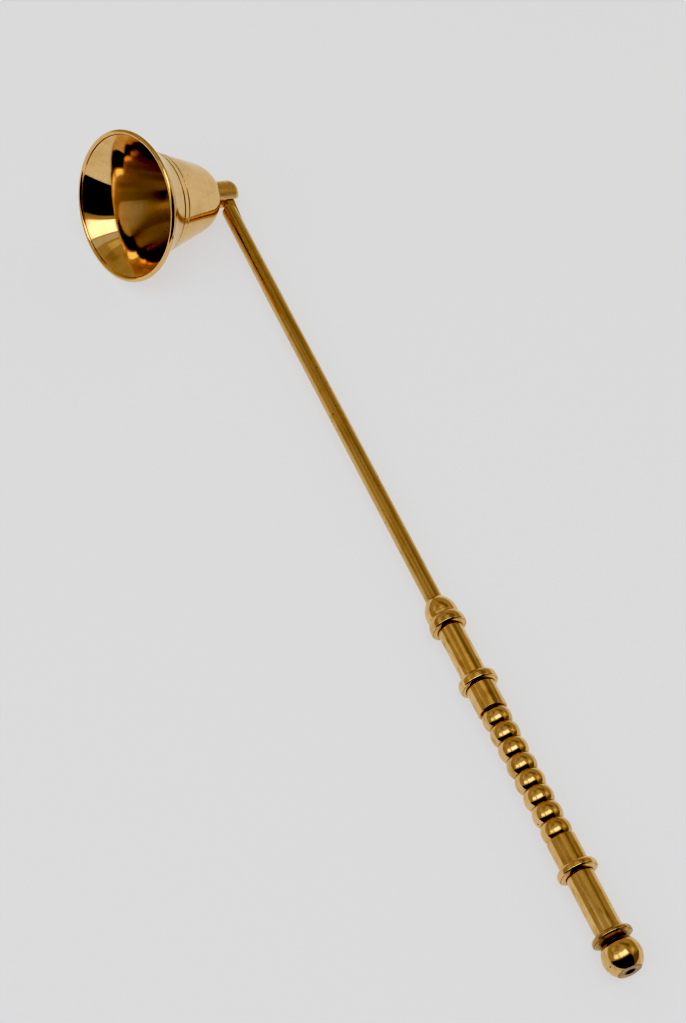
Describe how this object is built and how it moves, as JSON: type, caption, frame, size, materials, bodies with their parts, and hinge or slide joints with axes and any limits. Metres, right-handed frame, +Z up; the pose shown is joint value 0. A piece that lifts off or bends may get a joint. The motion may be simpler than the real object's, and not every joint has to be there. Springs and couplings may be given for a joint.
{
  "type": "candle snuffer",
  "caption": "Long-handled candle snuffer: a flared bell on a forked, riveted pivot at the end of a round rod, with a turned and beaded handle, all in polished brass",
  "frame": {"origin": "centre of the bottom of the whole object's box, on the surface that it lies on", "axes": "+X runs along the handle from the bell to the pommel, +Z is up, and the bell lies to the -Y side"},
  "size_m": [0.277, 0.048, 0.0399],
  "materials": {
    "bell_brass": "polished, lathe-turned, with fine circular tool marks inside the bell and two scribed lines outside",
    "fork_brass": "polished, slightly duller than the bell",
    "rod_brass": "drawn rod, polished, with lengthwise streaks and light tarnish",
    "handle_brass": "polished turned brass with small nicks, fine scratches and tarnish in the grooves"
  },
  "bodies": {
    "handle": {"stem_rod": "rod_brass", "top_cap": "handle_brass", "upper_barrel": "handle_brass", "upper_collar": "handle_brass", "upper_ferrule": "handle_brass", "bead_1": "handle_brass", "bead_2": "handle_brass", "bead_3": "handle_brass", "bead_4": "handle_brass", "bead_5": "handle_brass", "bead_6": "handle_brass", "bead_7": "handle_brass", "bead_8": "handle_brass", "lower_ferrule": "handle_brass", "lower_collar": "handle_brass", "lower_barrel": "handle_brass", "end_collar": "handle_brass", "pommel": "handle_brass"},
    "bell": {"bell_shell": "bell_brass", "pivot_fork": "fork_brass", "pivot_rivet": "fork_brass"}
  },
  "joints": [
    {"name": "bell_pivot", "type": "hinge", "parent": "handle", "child": "bell", "pos_m": [-0.12694, 0.0202, 0.00431], "axis": [0, -0.4249, -0.9052], "range_deg": [0, 219]}
  ]
}
